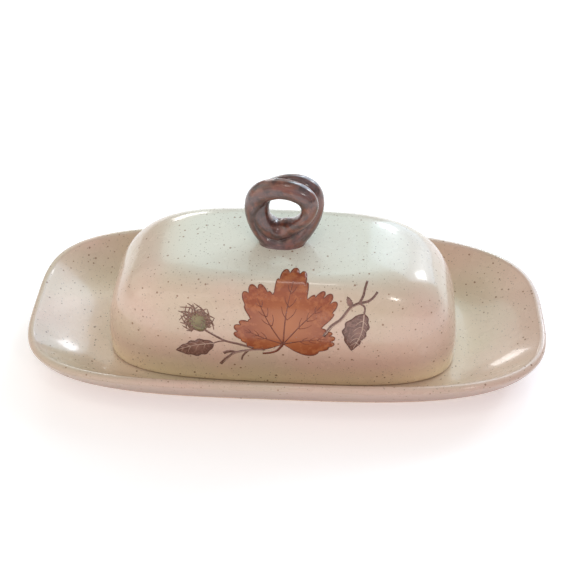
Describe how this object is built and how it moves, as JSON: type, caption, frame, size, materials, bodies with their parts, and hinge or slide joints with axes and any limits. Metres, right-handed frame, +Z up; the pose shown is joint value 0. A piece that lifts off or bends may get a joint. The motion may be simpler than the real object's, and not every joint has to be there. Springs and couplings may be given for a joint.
{
  "type": "covered butter dish",
  "caption": "Oblong glazed stoneware butter tray with swept-up ends, and a loose domed cover with a twisted ring handle.",
  "frame": {"origin": "centre of the tray's outline, on the surface that the foot ring stands on", "axes": "+X along the tray's length to its right end, +Y across it to the back, +Z up, the way the cover lifts"},
  "size_m": [0.25, 0.114, 0.0965],
  "materials": {
    "speckled_glaze": "satin gloss cream glaze with small brown and grey specks",
    "twig_glaze": "high gloss red-brown glaze with purple-grey streaks"
  },
  "bodies": {
    "tray": {"tray": "speckled_glaze"},
    "cover": {"cover": "speckled_glaze", "handle": "twig_glaze"}
  },
  "joints": [
    {"name": "cover_lift", "type": "slide", "parent": "tray", "child": "cover", "axis": [0, 0, 1], "range_m": [0, 0.12]}
  ]
}
